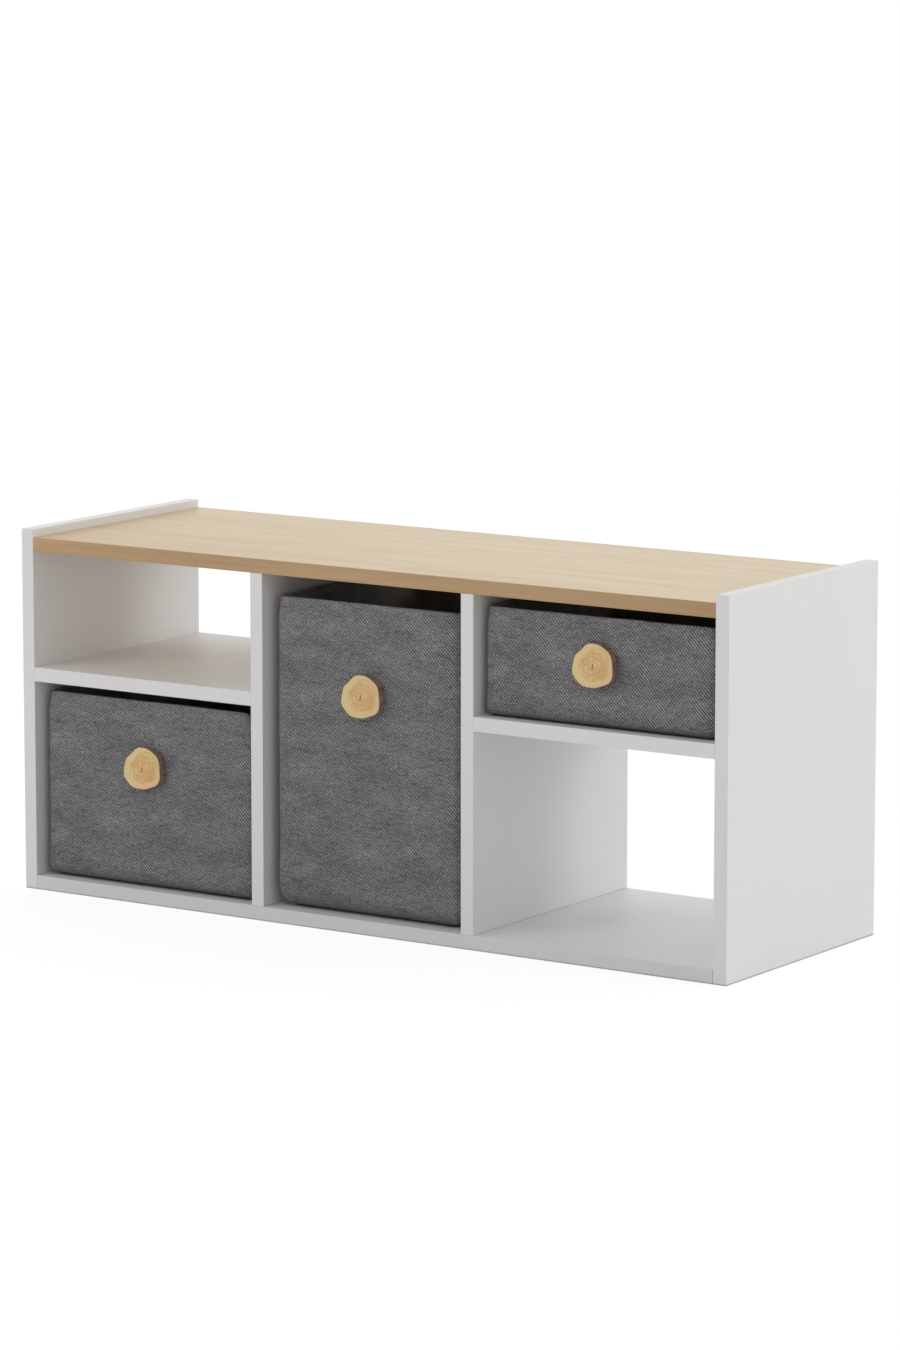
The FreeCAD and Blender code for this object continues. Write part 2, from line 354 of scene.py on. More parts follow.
def white_band_pattern(place, level, seam):
    """Edge band; level is how light it is, and seam how dark its ends are at the side panels."""
    peel = cloud(place, 0.0016)
    drift = cloud(place, 0.15)
    whites = [[number * level for number in white] for white in band_whites]
    end = bottom_end.x - axes(place)[0].math("ABSOLUTE")
    # dark ends at the joints, over a painted contact shadow along the foot
    colour = mixed(seam_shade(end) * seam, with_contact_shadow(place, mixed(drift, *whites)), seam_grey)
    return colour, 0.30 + peel * 0.12, peel, press_depth


white_board = finish("white_melamine", white_board_pattern)
white_band = finish("white_edge_band", white_band_pattern, level=1.0, seam=0.0)
bottom_band = finish("bottom_edge_band", white_band_pattern, level=bottom_band_level, seam=seam_strength)
print("made", white_board.name, white_band.name, bottom_band.name)

# %% [markdown]
# ## The oak-faced top
# The top is a printed oak decor: pale and quiet, with a soft broad figure along the board, a few
# short dark dashes and fine pores. Wood grain is noise stretched far along the fibre, so each layer
# below has its own length, width and strength. The top is warmer at the front left, and its band at
# the right. The band is the same decor, deeper and more streaky, so both share one function.

# %% Oak finish
top_pale = (0.735, 0.570, 0.330)
top_tan = (0.555, 0.365, 0.165)
band_pale = (0.555, 0.364, 0.191)
band_tan = (0.375, 0.226, 0.103)
oak_pore = (0.270, 0.160, 0.085)


def oak_pattern(place, pale, tan, streaky, contrast, gloss, warm_way):
    """Oak decor; streaky is the share of fine streaks, warm_way the direction (x, y) it warms in."""
    x, y, _ = axes(place)
    figure = cloud(place, (0.30, 0.024, 0.024), detail=3, roughness=0.55, distortion=0.5)
    streaks = cloud(place, (0.16, 0.0032, 0.0032), detail=3, roughness=0.6)
    fibre = cloud(place, (0.055, 0.0011, 0.0011), detail=3, roughness=0.6)
    pores = between(cloud(place, (0.016, 0.0006, 0.0006)), 0.58, 0.72)
    dashes = between(cloud(place, (0.013, 0.0028, 0.0028), detail=1), 0.66, 0.78)
    pore_rows = between(cloud(place, (0.30, 0.010, 0.010), detail=3), 0.46, 0.66)
    grain = figure * (1 - streaky) + streaks * (streaky * 0.6) + fibre * (streaky * 0.4)
    tone = between(grain, 0.5 - contrast, 0.5 + contrast)
    warm_end = between(x * warm_way[0] + y * warm_way[1], -0.2, 0.5)
    wood = mixed(tone * 0.55 + warm_end * 0.45, pale, tan)
    marks = (pores * 0.5 + dashes).math("MINIMUM", 1.0) * pore_rows
    colour = mixed(marks * 0.50, wood, oak_pore)
    roughness = gloss + fibre * 0.10 + marks * 0.1
    return colour, roughness, fibre - marks * 0.8, press_depth


oak_board = finish("oak_decor", oak_pattern, pale=top_pale, tan=top_tan, streaky=0.28, contrast=0.24,
                   gloss=0.26, warm_way=(-0.5, -1.4))
oak_band = finish("oak_edge_band", oak_pattern, pale=band_pale, tan=band_tan, streaky=0.50, contrast=0.14,
                  gloss=0.34, warm_way=(0.8, 0.0))
print("made", oak_board.name, "and", oak_band.name)

# %% [markdown]
# ## Fittings and greyboard
# Cam locks are die-cast zinc, their bolts plated steel, the dowels beech, and the knob screws
# bright steel. Cast zinc is dull and grainy, plating is smoother, and beech has short flecks. The
# bins are stiffened with boards of recycled paper pulp: grey-brown, fibrous and dull. The metals
# only differ in tone, gloss and grain, so one pattern with a few choices makes all three.

# %% Fitting and greyboard finishes
def metal_pattern(place, dark, light, gloss, grain_size):
    grain = cloud(place, grain_size, detail=3, roughness=0.65)
    tarnish = cloud(place, 0.006, detail=3)
    colour = mixed(tarnish, dark, light)
    return colour, gloss + grain * 0.2, grain, 0.00004


def beech_pattern(place):
    flecks = cloud(place, (0.0035, 0.0006, 0.0006))
    colour = mixed(between(flecks, 0.35, 0.7), (0.62, 0.43, 0.27), (0.45, 0.28, 0.16))
    return colour, 0.55 + flecks * 0.2, flecks, 0.00006


def greyboard_pattern(place):
    pulp = cloud(place, 0.0016, detail=4, roughness=0.65)
    flecks = between(cloud(place, 0.0007, detail=1), 0.62, 0.72)
    colour = mixed(pulp, (0.26, 0.24, 0.21), (0.40, 0.37, 0.33))
    colour = mixed(flecks * 0.5, colour, (0.55, 0.53, 0.5))
    return colour, 0.85 + pulp * 0.1, pulp, 0.00008


metal = {"Metallic": 1.0}
cam_zinc = finish("cast_zinc", metal_pattern, metal, dark=(0.42, 0.43, 0.44), light=(0.58, 0.59, 0.60),
                  gloss=0.34, grain_size=0.0005)
bolt_steel = finish("plated_bolt_steel", metal_pattern, metal, dark=(0.50, 0.48, 0.44),
                    light=(0.66, 0.64, 0.60), gloss=0.24, grain_size=0.0003)
screw_steel = finish("bright_screw_steel", metal_pattern, metal, dark=(0.55, 0.55, 0.55),
                     light=(0.70, 0.70, 0.70), gloss=0.20, grain_size=0.0003)
beech = finish("beech_dowel", beech_pattern)
greyboard = finish("greyboard", greyboard_pattern)
print("made", cam_zinc.name, bolt_steel.name, screw_steel.name, beech.name, greyboard.name)

# %% [markdown]
# ## Dress the rigid pieces
# A CAD piece whose shape is right only gets a material. Its name tells what it is made of, so one
# short table from the ends of names to finishes covers all of them, and its first fit counts.

# %% Assign finishes to CAD nodes
finish_by_name = (
    ("top_panel", oak_board),
    ("top_edge_bands", oak_band),
    ("bottom_edge_bands", bottom_band),
    ("_edge_bands", white_band),
    (("_panel", "_divider", "_shelf"), white_board),
    ("cam_locks", cam_zinc),
    ("cam_bolts", bolt_steel),
    ("dowels", beech),
    (("_knob_screw", "_knob_washer"), screw_steel),
    ("_base_board", greyboard),
)
dressed = 0
for node_name, node in nodes.items():
    fitting = [material for endings, material in finish_by_name if node_name.endswith(endings)]
    if fitting:
        node.data.materials.clear()
        node.data.materials.append(fitting[0])
        dressed += 1
print("dressed", dressed, "CAD nodes")

# %% [markdown]
# ## Heathered twill
# The bins are covered in a grey 2/2 twill: light warp and dark weft, each passing over two threads
# and under two, which draws fine diagonal lines. Every yarn is spun from mixed fibres, so its tone
# changes along its length, and here and there a dark slub of weft covers the warp. An image of
# cloth would repeat, and blur close up, so the threads are worked out. The pattern reads the bin's
# UV map, in metres along the cloth, so it turns the corners as real cloth does. It works out which
# thread is on top, how far from its middle a point is, and how light it is there.
# Along the foot, where a bin stands close to its board, the mesh stores how much painted shade darkens the
# cloth.

# %% Twill finish
warp_pitch = 0.00115      # from one upright thread to the next
weft_pitch = 0.00122
twill_repeat = 4.0
warp_spell = 0.005        # length over which a yarn changes its tone
weft_spell = 0.008
slub_spell = 0.030
warp_dark = (0.204, 0.197, 0.207)
warp_light = (0.468, 0.454, 0.475)
weft_dark = (0.052, 0.050, 0.052)
weft_light = (0.172, 0.165, 0.170)
# painted shade in the hollows between the threads
shade_between_threads = (0.030, 0.028, 0.030)


def yarn_tone(number, along, spell, seed):
    """Tone of a spun yarn, 0 to 1: it differs from yarn to yarn and changes along each one."""
    spot = number.make("ShaderNodeCombineXYZ", {"X": number * 2.3, "Y": along / spell, "Z": seed})
    return between(cloud(spot, 1, roughness=0.65), 0.28, 0.72)


def scaled(colour, level):
    return colour.make("ShaderNodeVectorMath", {0: colour, "Scale": level}, operation="SCALE")


def twill_pattern(place):
    cloth = uv_map(place, "cloth")
    across, up, _ = axes(cloth)
    warp = across / warp_pitch
    weft = up / weft_pitch
    warp_number = warp.math("FLOOR")
    weft_number = weft.math("FLOOR")
    step = (warp_number + weft_number).math("FLOORED_MODULO", twill_repeat)
    warp_on_top = step < twill_repeat / 2
    warp_round, weft_round = [(yarn.math("FRACT") * pi).math("SINE") for yarn in (warp, weft)]
    relief = warp_on_top * warp_round + (1 - warp_on_top) * weft_round * 0.9
    warp_colour = mixed(yarn_tone(warp_number, up, warp_spell, 0.0), warp_dark, warp_light)
    weft_colour = mixed(yarn_tone(weft_number, across, weft_spell, 5.0), weft_dark, weft_light)
    slub = yarn_tone(weft_number, across, slub_spell, 9.0)
    weft_shows = between(slub, 0.70, 0.95) * 0.5
    colour = mixed(warp_on_top * (1 - weft_shows), weft_colour, warp_colour)
    # Painted shade darkens the cloth where the relief is low, between the threads.
    colour = mixed((1 - relief) * 0.15, colour, shade_between_threads)
    mottle = cloud(cloth, (0.015, 0.0020, 1.0), roughness=0.6)
    heather = cloud(cloth, (0.070, 0.030, 1.0), detail=4, roughness=0.6)
    # Painted shade, stored in the mesh, darkens the cloth along the foot.
    colour = scaled(colour, (mottle * 0.95 + heather * 0.95 + 0.035) * (1 - stored(place, "painted_foot_shade")))
    return colour, 0.82 + relief * 0.1, relief, 0.00022


cloth_sheen = {"Sheen Weight": 0.12, "Sheen Roughness": 0.5, "Specular IOR Level": 0.2}
twill = finish("heathered_twill", twill_pattern, cloth_sheen)
print("made", twill.name, "with", len(twill.node_tree.nodes), "nodes")

# %% [markdown]
# ## Lining and thread
# Inside, the bins are lined with grey spunbond: fibres pressed flat between hot rollers, whose pins
# leave a grid of small dimples. Two sine waves make the dimples, over the tangle of fibres. The
# sewing thread is dark grey with a twist that runs round it.

# %% Lining and thread finishes
lining_dark = (0.168, 0.158, 0.150)
lining_light = (0.328, 0.308, 0.294)
lining_pressed = (0.115, 0.107, 0.101)
dimple_pitch = 0.0016
thread_dark = (0.030, 0.028, 0.028)
thread_light = (0.075, 0.070, 0.070)
twist_pitch = 0.0007


def wave(distance, pitch):
    return (distance * (2 * pi / pitch)).math("SINE")


def lining_pattern(place):
    cloth = uv_map(place, "cloth")
    across, up, _ = axes(cloth)
    pressed = between(wave(across, dimple_pitch) * wave(up, dimple_pitch), 0.25, 0.75)
    fibres = cloud(cloth, 0.0006, detail=3, roughness=0.7)
    drift = cloud(place, 0.030, detail=4, roughness=0.6)
    colour = mixed(pressed * 0.5, mixed(fibres, lining_dark, lining_light), lining_pressed)
    colour = scaled(colour, 0.6 + drift * 0.8)
    return colour, 0.78 - pressed * 0.2, fibres * 0.5 - pressed, 0.0001


def thread_pattern(place):
    x, y, z = axes(place)
    twist = wave(x + y + z, twist_pitch) * 0.5 + 0.5
    colour = mixed(twist, thread_dark, thread_light)
    return colour, 0.6 + twist * 0.15, twist, 0.00005


lining = finish("spunbond_lining", lining_pattern, {"Specular IOR Level": 0.25})
thread = finish("sewing_thread", thread_pattern)
print("made", lining.name, "and", thread.name)

# %% [markdown]
# ## The form of a sewn bin
# Each bin is a box of cloth over stiff boards. Its walls bow out a little, the corners draw in, the
# rim dips where the boards end, and the rounded foot clears the shelf and leaves a dark line. Five
# flat plates would miss all that. So one function gives any point of the bin from three numbers:
# the column round the bin, how far in from the outer face, and the height. Cover, boards and lining
# all use it, so they stay layered however the walls bow.

# %% Columns round a bin
corner_radius = 0.010          # upright corners
quarter_round = pi / 2 * corner_radius
side_step = 0.005              # column spacing along a wall
corner_steps = 8               # columns round a quarter turn
back_bow = 0.0015


class BinForm:
    """Sizes of one bin, read from its CAD pieces, and its softness."""

    def __init__(self, name, foot_height, foot_width, rim_drop, side_bow):
        self.name = name
        self.low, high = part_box(f"{name}_bin_cover")
        base_low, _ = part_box(f"{name}_bin_base_board")
        screw_low, screw_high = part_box(f"{name}_bin_knob_screw")
        self.knob = (screw_low + screw_high) / 2
        self.middle = (self.low + high) / 2
        self.half_width = (high.x - self.low.x) / 2
        self.half_depth = (high.y - self.low.y) / 2
        self.height = high.z - self.low.z
        self.base_edge = base_low.x - self.low.x
        self.foot_height = foot_height
        self.foot_width = foot_width
        self.rim_drop = rim_drop
        self.bows = {"left": side_bow, "right": side_bow, "front": 0.0, "back": back_bow}
        self.columns = self.round_columns()

    def wall_length(self, wall):
        """Length of a wall between its rounded corners."""
        half = self.half_width if wall in ("front", "back") else self.half_depth
        return 2 * (half - corner_radius)

    def round_columns(self):
        """(wall, share along it, turn, distance round the bin), anticlockwise from the back's middle."""
        columns = []
        distance = 0.0
        for wall, start, end in (("back", 0.5, 1.0), ("left", 0.0, 1.0), ("front", 0.0, 1.0),
                                 ("right", 0.0, 1.0), ("back", 0.0, 0.5)):
            length = (end - start) * self.wall_length(wall)
            steps = max(2, round(length / side_step))
            for step in range(steps):
                share = start + (end - start) * step / steps
                columns.append((wall, share, 0.0, distance + length * step / steps))
            distance += length
            if end == 1.0:
                for step in range(corner_steps):
                    turn = step / corner_steps
                    columns.append((wall, 1.0, turn, distance + turn * quarter_round))
                distance += quarter_round
        self.girth = distance
        return columns


bins = (
    BinForm("left", foot_height=0.015, foot_width=0.0100, rim_drop=0.0045, side_bow=0.0012),
    BinForm("middle", foot_height=0.034, foot_width=0.0165, rim_drop=0.0020, side_bow=0.0016),
    BinForm("right", foot_height=0.010, foot_width=0.0065, rim_drop=0.0018, side_bow=0.0010),
)
for form in bins:
    print(form.name, "bin:", len(form.columns), "columns, girth", round(form.girth, 4), "m")

# %% [markdown]
# The walls face along +X, +Y, -X and -Y, and a corner turns from one to the next. The columns go
# anticlockwise seen from above, so for someone outside the cloth runs to the right on any wall, and
# the twill leans the same way all round.

# %% The outline of a bin
tightest_corner = 0.0012       # where the foot draws the corner in
wall_angles = {"front": -pi / 2, "right": 0.0, "back": pi / 2, "left": pi}


def level_direction(angle):
    return Vector((cos(angle), sin(angle), 0))


def outline_point(form, column, inset):
    """Place and outward direction of a column on the outline drawn in by inset."""
    wall, share, turn, _ = column
    facing = level_direction(wall_angles[wall])
    along = Vector((-facing.y, facing.x, 0))
    outward = level_direction(wall_angles[wall] + turn * pi / 2)
    radius = max(corner_radius - inset, tightest_corner)
    core = Vector((form.half_width - inset - radius, form.half_depth - inset - radius, 0))
    core_along = abs(along.dot(core)) * (2 * share - 1)
    core_out = abs(facing.dot(core))
    return along * core_along + facing * core_out + outward * radius, outward


print("walls of an outline:", *wall_angles)

# %% [markdown]
# ## Soft walls
# Cloth over boards is never quite flat: walls bow, corners draw in, the rim drops where no board
# holds it, and slow ripples run over the rest. A cloth simulation could find such forms, but boards
# hold this cloth, so small functions are enough, and each can be set by itself. `bin_point` adds
# them up.

# %% Softness of the cloth
bow_rise = 0.62                # share of a half wave that a bow makes on its way up
rim_drop_reach = 0.009         # how far from a corner the rim starts to drop
rim_wave = 0.0005              # slow rise and fall of the rim along a wall
rim_wave_size = 0.055
rim_reach = 0.028              # how far down the wall the rim's own slackness goes
corner_draw = 0.0014           # how far cloth draws an upright corner in, and more at the rim
corner_draw_rim = 0.0030
corner_draw_reach = 0.012


def smooth(value):
    """0 below 0, 1 above 1, and an even S between."""
    value = min(1.0, max(0.0, value))
    return value * value * (3 - 2 * value)


def wall_bow(form, column, rise):
    """How far a wall stands out: most at its middle, and not at its ends; rise is 0 at the foot."""
    wall, share, _, _ = column
    return form.bows[wall] * sin(pi * share) ** 2 * sin(pi * bow_rise * rise)


def corner_distance(form, column):
    """How far a column is from the middle of the nearest upright corner, along the outline."""
    wall, share, turn, _ = column
    if turn > 0:
        return abs(turn - 0.5) * quarter_round
    return min(share, 1 - share) * form.wall_length(wall) + quarter_round / 2


def rim_slack(form, rise):
    """1 at the rim, and 0 from where its own slackness ends."""
    return smooth(1 - (1 - rise) * form.height / rim_reach)


def rim_dip(form, column):
    """How far the rim hangs down: most at an upright corner, and a little along the walls."""
    corner = form.rim_drop * exp(-(corner_distance(form, column) / rim_drop_reach) ** 2)
    spot = Vector((column[3] / rim_wave_size, form.middle.x * 7, 1.0))
    return corner + rim_wave * (0.5 + noise.noise(spot))


def drawn_in(form, column, rise):
    """How far the cloth draws an upright corner in."""
    reach = exp(-(corner_distance(form, column) / corner_draw_reach) ** 2)
    return (corner_draw * smooth(rise * 4) + corner_draw_rim * rim_slack(form, rise)) * reach


print("rims drop at the corners by", [form.rim_drop for form in bins], "m")

# %% A point of the bin
cloth_ripple = 0.0006          # unevenness of the cloth on its boards
ripple_size = 0.045
knob_calm = 0.055              # the cloth is drawn flat this far round the knob
board_thickness = 0.0025


def ripple(form, column, rise, inset):
    """Small soft unevenness of the cloth, none of it at the knob, the foot or the rim."""
    wall, _, turn, distance = column
    height = rise * form.height
    spot = Vector((distance / ripple_size, height / ripple_size, 3.7 * inset / board_thickness))
    seed = Vector((form.middle.x * 11, 5.0, form.middle.z * 7))
    calm = smooth(rise * 6) * smooth((1 - rise) * 8)
    if wall == "front" and turn == 0:
        place, _ = outline_point(form, column, 0)
        away = hypot(place.x, form.low.z + height - form.knob.z)
        calm *= smooth((away - 0.6 * knob_calm) / knob_calm)
    return cloth_ripple * calm * noise.noise(spot + seed)


def bin_point(form, column, inset, height, soft=True):
    """A point of the bin: height is above its underside, at a rim that doesn't dip."""
    rise = height / form.height
    place, outward = outline_point(form, column, inset)
    bulge = wall_bow(form, column, rise) - drawn_in(form, column, rise)
    if soft:
        bulge += ripple(form, column, rise, inset)
    level = form.low.z + height - rim_dip(form, column) * rim_slack(form, rise)
    return form.middle.xy.to_3d() + place + outward * bulge + Vector((0, 0, level))


for form in bins:
    print(form.name, "bin starts at", bin_point(form, form.columns[0], 0.0, 0.0))

# %% [markdown]
# ## Lofting a layer
# A layer of the bin is a profile carried round the columns: up the outside, over the rim and down
# the inside, with a flat face to close each end. A Solidify modifier could thicken a plain surface,
# but the rim has to roll over the boards, so the profile is written out, and its faces point
# outwards by construction. Each face also gets cloth coordinates: distance round the bin, and
# distance along the profile.

# %% Mesh helpers
def store(mesh, name, values, kind="FLOAT", field="value"):
    """Values for each vertex, which a material or a node tree reads by name."""
    mesh.attributes.new(name, kind, "POINT")
    mesh.attributes[name].data.foreach_set(field, values)


def store_uv(mesh, name, pairs):
    """A UV map, with one (u, v) pair for each corner of each face."""
    mesh.uv_layers.new(name=name)
    mesh.uv_layers[name].data.foreach_set("uv", [number for pair in pairs for number in pair])


def shell_faces(rows, count):
    """Quads between rows of count vertices that go round, and one face to close each end."""
    faces = []
    for low in range(0, (rows - 1) * count, count):
        for step in range(count):
            following = (step + 1) % count
            faces.append((low + step, low + following, low + count + following, low + count + step))
    last = (rows - 1) * count
    return faces + [tuple(reversed(range(count))), tuple(range(last, last + count))]


def add_piece(form, mesh, slot, stands_for=None):
    """An object for a finished mesh, which rides on its bin and may stand for one of its CAD pieces."""
    body = f"{form.name}_bin"
    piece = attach(in_scene(mesh.name, mesh), body)
    if stands_for:
        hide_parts(f"{body}_{stands_for}")
    print(piece.name, len(mesh.polygons), "faces")


print("mesh helpers ready")

# %% Loft function
foot_lift = 0.0024             # how far the cloth round the base board clears the shelf
# painted shade along the foot of a bin: two fading shares, each with its reach up the wall
foot_shade_broad = (0.30, 0.012)      # share of the painted shade, and its reach up the wall
foot_shade_narrow = (0.60, 0.003)


def foot_shade_level(height):
    """How dark the painted shade on the cloth is, 0 to 1: most where the foot starts, less and less up the
    wall.
    """
    above = max(0.0, height - foot_lift)
    return sum(share * exp(-above / reach) for share, reach in (foot_shade_broad, foot_shade_narrow))


def loft(name, form, profile, material):
    """A closed shell; profile is a list of (inset, height) from the outer bottom to the inner one."""
    count = len(form.columns)
    vertices = [bin_point(form, column, inset, height)
                for inset, height in profile for column in form.columns]
    faces = shell_faces(len(profile), count)
    rounds = [column[3] for column in form.columns] + [form.girth]
    lengths = [0.0]
    for start, end in zip(profile, profile[1:]):
        lengths.append(lengths[-1] + dist(start, end))
    cloth = []
    for row in range(len(profile) - 1):
        for step in range(count):
            sides = ((step, row), (step + 1, row), (step + 1, row + 1), (step, row + 1))
            cloth.extend((rounds[side], lengths[level]) for side, level in sides)
    for cap in faces[-2:]:
        cloth.extend(vertices[corner].xy for corner in cap)
    mesh = new_mesh(name, vertices, faces, material)
    store_uv(mesh, "cloth", cloth)
    # how much painted shade darkens the cloth at each height
    store(mesh, "painted_foot_shade", [foot_shade_level(height) for _, height in profile for column in form.columns])
    mesh.shade_smooth()
    return mesh


# prints how dark the painted shade is where the foot starts
print("cloth at the foot is soiled by", foot_shade_level(foot_lift))

# %% [markdown]
# ## Covers and linings
# The cover goes up the outside, rolls over the boards at the rim and stops there, and the lining
# comes up inside to the same rim. Both are thin closed shells, so they look right from all sides
# and with a bin pulled out. They stand for the plain CAD solids of the same names.

# %% Profiles of the layers
cover_thickness = 0.0015
lining_thickness = 0.0010
lining_inset = cover_thickness + board_thickness
inside_inset = lining_inset + lining_thickness
wall_step = 0.006
foot_steps = 8
flat_ring = 0.012              # ring of faces between the foot and the closing face
base_clearance = 0.0022        # from the edge of the base board to the outside of the cloth
base_round = 0.0008
rim_roll = 0.0020
hem_round = 0.0006             # rounding of the cover's edge inside the rim
hem_drop = 0.0001
lining_edge = ((0.0, 0.0005), (0.5, 0.0002), (1.0, 0.0007))    # share of its thickness, drop below the rim
lining_outer_drop = 0.0008     # below the rim; the rows of its two walls lead up to these
lining_inner_drop = 0.0009


def foot_profile(form, inset, lift):
    """Profile points from the flat base, up by lift at its edge, round the foot and up to the wall."""
    edge = form.base_edge - base_clearance + inset
    underside = inset + lift
    points = [(edge + flat_ring, inset)]
    if lift > 0:
        points += [(edge + base_round, inset), (edge, inset + base_round), (edge - base_round, underside)]
    for step in range(foot_steps + 1):
        angle = pi / 2 * step / foot_steps
        points.append((inset + form.foot_width * (1 - sin(angle)),
                       form.foot_height - (form.foot_height - underside) * cos(angle)))
    return points


def wall_rise(inset, bottom, top):
    """Profile points up a wall, without its two ends."""
    steps = max(2, round((top - bottom) / wall_step))
    return [(inset, bottom + (top - bottom) * step / steps) for step in range(1, steps)]


def skin(form, inset, lift, drop):
    """Profile points from the base, round the foot and up to one row short of drop below the rim."""
    return foot_profile(form, inset, lift) + wall_rise(inset, form.foot_height, form.height - drop)


def cover_profile(form):
    rim = form.height
    roll = [(rim_roll * (1 - cos(angle)), rim - rim_roll * (1 - sin(angle)))
            for angle in (0.0, 0.4, 0.8, 1.2, pi / 2)]
    turned_in = [(lining_inset - hem_round, rim - hem_drop), (lining_inset, rim - hem_round),
                 (lining_inset, rim - cover_thickness), (cover_thickness, rim - cover_thickness)]
    inner = skin(form, cover_thickness, foot_lift, cover_thickness)
    return skin(form, 0.0, foot_lift, rim_roll) + roll + turned_in + inner[::-1]


def lining_profile(form):
    edge = [(lining_inset + share * lining_thickness, form.height - drop) for share, drop in lining_edge]
    outer = skin(form, lining_inset, 0.0, lining_outer_drop)
    inner = skin(form, inside_inset, 0.0, lining_inner_drop)
    return outer + edge + inner[::-1]


print("points in the left cover's profile:", len(cover_profile(bins[0])))

# %% Sew the bins
for form in bins:
    for layer, profile, material, slot in (
        ("cover", cover_profile(form), twill, "bin_fabric"),
        ("lining", lining_profile(form), lining, "bin_lining"),
    ):
        mesh = loft(f"{form.name}_bin_soft_{layer}", form, profile, material)
        add_piece(form, mesh, slot, stands_for=layer)

# %% [markdown]
# ## Bowed boards
# A wall that bows takes its board with it. The CAD boards are flat, so each is remade here between
# the same columns as the cloth, a thin bent slab in the pocket between cover and lining.

# %% Bend the wall boards
board_rim_gap = 0.0020
board_rows = 12
board_play = 0.0002


def bent_board(form, wall, vertices, faces):
    """Add one slab, an outer and an inner sheet with a border; it ends where the rounded corners start."""
    columns = [column for column in form.columns if column[0] == wall and column[2] == 0]
    columns.sort(key=lambda column: column[1])
    columns.append((wall, 1.0, 0.0, 0.0))
    span = form.height - board_rim_gap - form.foot_height
    heights = [form.foot_height + span * row / board_rows for row in range(board_rows + 1)]
    start = len(vertices)
    for inset in (cover_thickness + board_play, lining_inset - board_play):
        vertices.extend(bin_point(form, column, inset, height, soft=False)
                        for height in heights for column in columns)
    wide = len(columns)
    sheet = wide * len(heights)
    top_row = sheet - wide
    for row in range(0, top_row, wide):
        for step in range(wide - 1):
            corner = start + row + step
            outer = (corner, corner + 1, corner + wide + 1, corner + wide)
            faces.append(outer)
            faces.append([index + sheet for index in reversed(outer)])
    border = [*range(wide), *range(2 * wide - 1, sheet, wide)]
    border += [*range(sheet - 2, top_row - 1, -1), *range(top_row - wide, 0, -wide)]
    for first, second in zip(border, border[1:] + border[:1]):
        faces.append((start + second, start + first, start + first + sheet, start + second + sheet))


for form in bins:
    vertices = []
    faces = []
    for wall in wall_angles:
        bent_board(form, wall, vertices, faces)
    mesh = new_mesh(f"{form.name}_bin_bent_boards", vertices, faces, greyboard)
    add_piece(form, mesh, "grey_board", stands_for="wall_boards")

# %% [markdown]
# ## Knobs cut from a branch
# A knob is a slice of a branch with its bark on: a lobed outline, a sanded face with growth rings,
# and a drying crack at the heart. The face is a polar grid, dense near the middle so that the
# crack is a real groove. Each vertex stores how far out it lies, from 0 at the heart to 1 at the
# bark, and the rings read that number, so they follow the outline as in a real branch.

# %% Knob outline and crack
knob_radius = 0.0275
knob_lobes = (            # lobes round the slice, depth, and where the first one points
    (2, 0.0013, 45.0),
    (3, 0.0011, -101.0),
    (4, 0.00025, -169.0),
    (5, 0.0004, 175.0),
    (6, 0.0004, -162.0),
    (8, 0.00025, 145.0),
    (9, 0.00018, -35.0),
)
crack_half_height = 0.0046
crack_half_width = 0.0009
crack_depth = 0.0008
crack_lean = 0.12


def knob_outline(angle):
    return knob_radius + sum(depth * cos(count * angle - radians(turn))
                             for count, depth, turn in knob_lobes)


def crack_dent(x, z):
    """Depth of the drying crack, a narrow lens that leans a little."""
    along = z / crack_half_height
    if abs(along) >= 1:
        return 0.0
    across = abs(x - crack_lean * z) / (crack_half_width * (1 - along * along))
    return crack_depth * smooth(1.3 - across) * (1 - along ** 4)


print("knob outline at the right and at the top:", knob_outline(0), knob_outline(pi / 2))

# %% Knob mesh
knob_spokes = 144
knob_rings = 44
ring_crowding = 1.3       # above 1 puts more rings near the heart
knob_arris = 0.0011
arris_steps = 3
bark_rows = 10
bark_depth = 0.0005
bark_grain = 9.0          # ridges round the bark, and along the branch per metre
bark_grain_along = 260.0


def knob_rows(thickness):
    """(share of the radius, inset, depth behind the face, bark or not) for each row of vertices."""
    rows = [((ring / knob_rings) ** ring_crowding, knob_arris, 0.0, False)
            for ring in range(1, knob_rings + 1)]
    for step in range(1, arris_steps + 1):
        angle = pi / 2 * step / arris_steps
        rows.append((1.0, knob_arris * (1 - sin(angle)), knob_arris * (1 - cos(angle)), False))
    for step in range(1, bark_rows):
        depth = knob_arris + (thickness - 2 * knob_arris) * step / (bark_rows - 1)
        rows.append((1.0, 0.0, depth, True))
    rows.append((1.0, knob_arris, thickness, True))
    return rows


